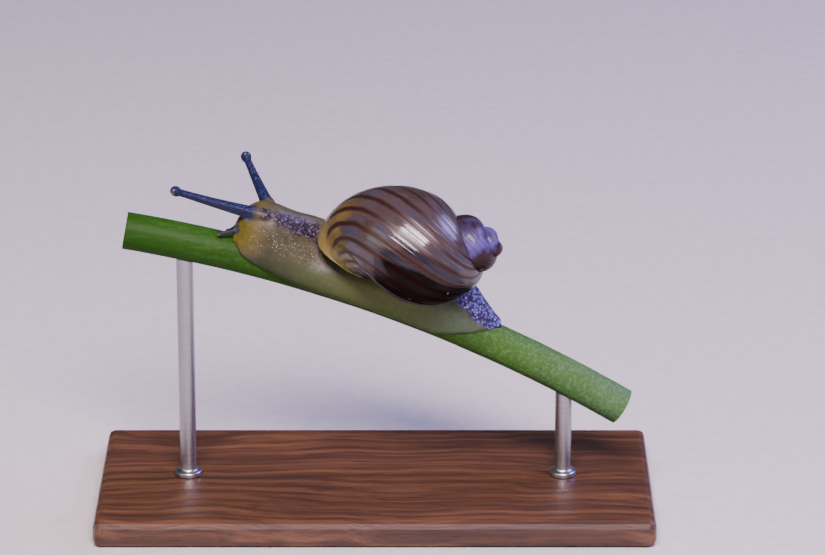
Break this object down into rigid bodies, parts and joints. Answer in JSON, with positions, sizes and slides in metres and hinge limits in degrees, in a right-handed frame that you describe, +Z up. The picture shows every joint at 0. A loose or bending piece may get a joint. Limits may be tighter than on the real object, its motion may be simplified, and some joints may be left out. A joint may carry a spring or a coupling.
{
  "type": "striped snail",
  "caption": "Life-size model of a striped tree snail crawling on a cut plant stem, held over a flat wooden display base by thin rods.",
  "frame": {"origin": "middle of the stand base's underside", "axes": "+Z up, the snail heads towards -X with its tail towards +X, and its left side faces -Y"},
  "size_m": [0.04, 0.018, 0.0252],
  "materials": {
    "shell": "thin glossy horn-coloured shell with dark brown stripes",
    "snail_skin": "moist granular skin, olive yellow to blue-grey",
    "eye": "glossy black eye",
    "green_stem": "smooth fresh green plant stem, paler on top",
    "walnut": "oiled walnut",
    "steel_rod": "drawn steel rod"
  },
  "bodies": {
    "root": {"eye_left": "eye", "eye_right": "eye", "foot_front": "snail_skin", "foot_middle": "snail_skin", "foot_rear": "snail_skin", "head": "snail_skin", "neck": "snail_skin", "perch_stem": "green_stem", "shell_apex": "shell", "shell_body_whorl": "shell", "shell_inner_lip": "shell", "shell_penultimate_whorl": "shell", "stand_base": "walnut", "stand_rod_front": "steel_rod", "stand_rod_rear": "steel_rod", "tail": "snail_skin", "tentacle_lower_left": "snail_skin", "tentacle_lower_right": "snail_skin", "tentacle_upper_left_bulb": "snail_skin", "tentacle_upper_left_root": "snail_skin", "tentacle_upper_left_stalk": "snail_skin", "tentacle_upper_right_bulb": "snail_skin", "tentacle_upper_right_root": "snail_skin", "tentacle_upper_right_stalk": "snail_skin", "trunk_front": "snail_skin", "trunk_rear": "snail_skin"}
  },
  "joints": []
}
